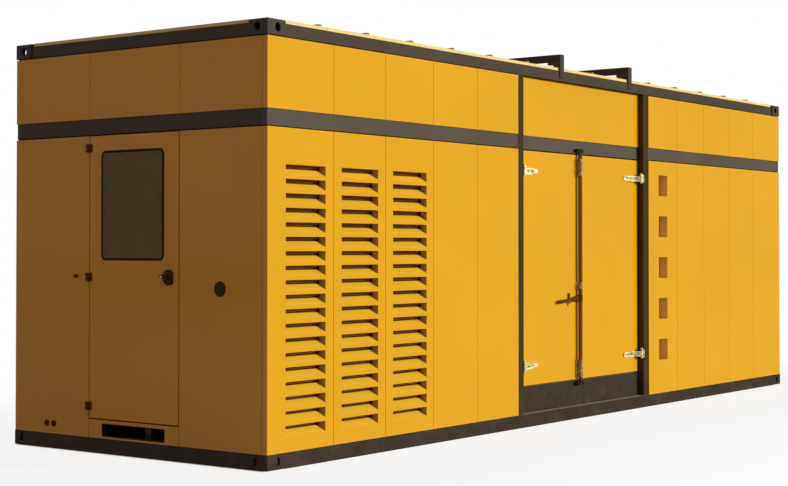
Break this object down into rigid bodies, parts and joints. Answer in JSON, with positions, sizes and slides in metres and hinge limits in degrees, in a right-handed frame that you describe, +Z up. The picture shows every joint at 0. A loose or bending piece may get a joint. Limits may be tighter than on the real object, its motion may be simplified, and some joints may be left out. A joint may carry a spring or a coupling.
{
  "type": "containerised diesel generator set",
  "caption": "Walk-in steel enclosure of a diesel generator set: yellow wall panels in a dark frame, louvres, a windowed end door, a double door with a lock rod, footholds and a ribbed roof.",
  "frame": {"origin": "on the ground under the middle of the enclosure", "axes": "+X along the length away from the end with the personnel door, -Y out of the side with the double door, +Z up"},
  "size_m": [8.103, 2.438, 3.01],
  "materials": {
    "panel_paint": "satin yellow paint on sheet steel",
    "frame_paint": "satin grey-brown paint",
    "casting_paint": "weathered grey paint on cast steel",
    "floor_plate": "patterned floor plate",
    "dark_metal": "black paint",
    "bright_metal": "zinc-plated steel",
    "rubber": "black rubber",
    "buffer_rubber": "dark red rubber",
    "tinted_glass": "tinted glass"
  },
  "bodies": {
    "enclosure": {"base_rails": "frame_paint", "base_cross_members": "frame_paint", "bottom_corner_castings": "casting_paint", "floor_joists": "frame_paint", "floor_deck": "floor_plate", "frame_posts": "frame_paint", "top_rails": "frame_paint", "top_corner_castings": "casting_paint", "side_waist_rails": "frame_paint", "end_waist_rails": "frame_paint", "wall_girts": "frame_paint", "wall_studs": "frame_paint", "front_louvre_panels": "panel_paint", "front_plain_panels": "panel_paint", "foothold_panel": "panel_paint", "foothold_pockets": "panel_paint", "side_upper_panels": "panel_paint", "bay_upper_panel": "panel_paint", "door_sill": "frame_paint", "door_stops": "frame_paint", "back_louvre_panels": "panel_paint", "back_plain_panels": "panel_paint", "door_end_panels": "panel_paint", "under_door_panel": "panel_paint", "far_end_panels": "panel_paint", "far_end_louvre_panel": "panel_paint", "roof_panels": "panel_paint", "roof_ribs": "panel_paint", "roof_beams": "dark_metal", "roof_beam_legs": "dark_metal", "end_door_frame": "frame_paint", "end_hinge_frames": "dark_metal", "hinge_lugs": "bright_metal", "rod_keepers": "dark_metal", "round_cap": "rubber", "pipe_sockets": "dark_metal", "door_buffer": "buffer_rubber"},
    "end_door": {"end_door_leaf": "panel_paint", "end_door_glass": "tinted_glass", "end_door_gasket": "rubber", "end_door_handle": "dark_metal", "end_hinge_leaves": "dark_metal"},
    "left_door": {"left_door_leaf": "panel_paint", "left_door_straps": "bright_metal", "lock_brackets": "bright_metal"},
    "right_door": {"right_door_leaf": "panel_paint", "right_door_straps": "bright_metal"},
    "locking_bar": {"lock_rod": "panel_paint", "lock_handle": "dark_metal"}
  },
  "joints": [
    {"name": "end_door_hinge", "type": "hinge", "parent": "enclosure", "child": "end_door", "pos_m": [-4.038, 0.437, 1.2], "axis": [0, 0, -1], "range_deg": [0, 160]},
    {"name": "left_door_hinge", "type": "hinge", "parent": "enclosure", "child": "left_door", "pos_m": [-0.932, -1.201, 1.2], "axis": [0, 0, -1], "range_deg": [0, 150]},
    {"name": "right_door_hinge", "type": "hinge", "parent": "enclosure", "child": "right_door", "pos_m": [1.017, -1.201, 1.2], "axis": [0, 0, 1], "range_deg": [0, 150]},
    {"name": "lock_rod_turn", "type": "hinge", "parent": "left_door", "child": "locking_bar", "pos_m": [-0.0285, -1.18, 1.2], "axis": [0, 0, 1], "range_deg": [0, 95]}
  ]
}
